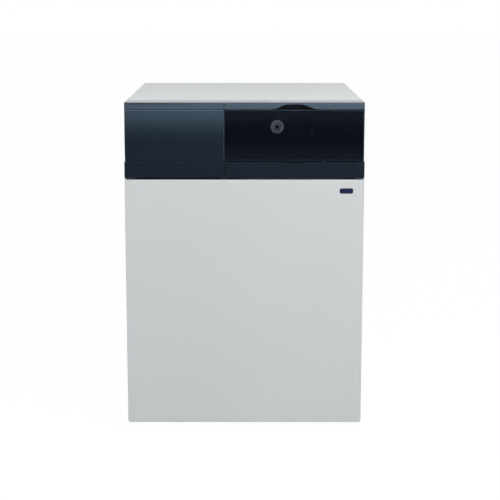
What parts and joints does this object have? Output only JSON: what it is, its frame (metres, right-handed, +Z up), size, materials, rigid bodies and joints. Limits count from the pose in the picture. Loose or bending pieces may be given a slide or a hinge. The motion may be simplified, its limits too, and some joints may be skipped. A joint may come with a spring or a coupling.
{
  "type": "floor-standing oil boiler with pressure-jet burner",
  "caption": "Pale grey boiler cabinet with a dark control panel, smoked flap, lift-off lid and tilting door in front of a pressure-jet burner and cast-iron block.",
  "frame": {"origin": "on the floor at the middle of the overall width and depth, pipes and flue collar included", "axes": "+X to the right seen from the front, +Y from the front to the back, +Z up"},
  "size_m": [0.6, 0.79, 0.85],
  "materials": {
    "casing_paint": "satin, pale grey",
    "galvanised": "galvanised",
    "zinc_steel": "zinc plated",
    "dark_moulding": "satin, dark slate",
    "black_plastic": "satin",
    "dial_plastic": "satin",
    "red_button": "gloss",
    "smoked_sheet": "smoked, clear",
    "badge_plastic": "satin",
    "iron": "as cast, painted",
    "foil_wool": "foil-faced mineral wool",
    "fibre": "ceramic fibre",
    "die_casting": "as cast",
    "stainless": "brushed",
    "copper_brass": "drawn",
    "porcelain": "glazed",
    "lever_red": "gloss",
    "coil_black": "matt"
  },
  "bodies": {
    "casing": {"back_panel": "casing_paint", "base_frame": "galvanised", "blast_tube": "stainless", "block_cradle": "iron", "burner_flange": "die_casting", "combustion_door": "iron", "control_box": "black_plastic", "control_bracket": "galvanised", "diffuser": "stainless", "door_and_burner_fixings": "zinc_steel", "door_refractory": "fibre", "drain_cock": "copper_brass", "electrodes": "porcelain", "fan_motor": "die_casting", "fan_scroll": "die_casting", "flow_pipe": "copper_brass", "flue_collar": "stainless", "flue_hood": "iron", "front_cross_rail": "galvanised", "front_section": "iron", "ignition_transformer": "coil_black", "instrument_plate": "dark_moulding", "insulation_jacket": "foil_wool", "left_band": "dark_moulding", "left_cover": "dark_moulding", "left_strip": "dark_moulding", "levelling_feet": "zinc_steel", "middle_section": "iron", "nozzle_line": "copper_brass", "oil_pipe": "copper_brass", "oil_pump": "die_casting", "panel_housing": "dark_moulding", "photocell": "black_plastic", "rear_section": "iron", "reset_collar": "black_plastic", "return_pipe": "copper_brass", "right_band": "dark_moulding", "right_strip": "dark_moulding", "rocker_bezel": "black_plastic", "rope_seal": "fibre", "scroll_cover": "galvanised", "side_panel_left": "casing_paint", "side_panel_right": "casing_paint", "sight_glass": "porcelain", "terminal_block": "dial_plastic", "thermostat_body": "black_plastic", "tie_rods": "zinc_steel"},
    "front_door": {"front_door": "casing_paint", "door_pins": "zinc_steel", "door_insulation": "foil_wool", "badge": "badge_plastic"},
    "top_lid": {"top_lid": "casing_paint"},
    "smoked_flap": {"smoked_flap": "smoked_sheet"},
    "thermostat_knob": {"thermostat_knob": "dial_plastic"},
    "rocker_key": {"rocker_key": "black_plastic"},
    "reset_button": {"reset_button": "black_plastic"},
    "lockout_button": {"lockout_button": "red_button"},
    "fan_wheel": {"fan_wheel": "black_plastic"},
    "air_shutter": {"air_shutter": "galvanised"},
    "drain_lever": {"drain_lever": "lever_red"}
  },
  "joints": [
    {"name": "door_tilt", "type": "hinge", "parent": "casing", "child": "front_door", "pos_m": [0, -0.387, 0.042], "axis": [1, 0, 0], "range_deg": [0, 38]},
    {"name": "lid_lift", "type": "slide", "parent": "casing", "child": "top_lid", "axis": [0, 0, 1], "range_m": [0, 0.06]},
    {"name": "flap_open", "type": "hinge", "parent": "casing", "child": "smoked_flap", "pos_m": [0.12, -0.388, 0.7108], "axis": [1, 0, 0], "range_deg": [0, 95]},
    {"name": "knob_turn", "type": "hinge", "parent": "casing", "child": "thermostat_knob", "pos_m": [0.082, -0.37, 0.788], "axis": [0, 1, 0], "range_deg": [-135, 135]},
    {"name": "rocker_tilt", "type": "hinge", "parent": "casing", "child": "rocker_key", "pos_m": [0.17, -0.361, 0.7705], "axis": [1, 0, 0], "range_deg": [0, 18]},
    {"name": "reset_push", "type": "slide", "parent": "casing", "child": "reset_button", "axis": [0, 1, 0], "range_m": [0, 0.0025], "stiffness_N_per_m": 600},
    {"name": "lockout_push", "type": "slide", "parent": "casing", "child": "lockout_button", "axis": [0, 1, 0], "range_m": [0, 0.0025], "stiffness_N_per_m": 600},
    {"name": "fan_spin", "type": "hinge", "parent": "casing", "child": "fan_wheel", "pos_m": [0, -0.248, 0.326], "axis": [1, 0, 0], "continuous": true},
    {"name": "shutter_turn", "type": "hinge", "parent": "casing", "child": "air_shutter", "pos_m": [-0.041, -0.248, 0.326], "axis": [1, 0, 0], "range_deg": [0, 45]},
    {"name": "drain_turn", "type": "hinge", "parent": "casing", "child": "drain_lever", "pos_m": [-0.176, -0.136, 0.2], "axis": [0, 1, 0], "range_deg": [0, 90]}
  ]
}
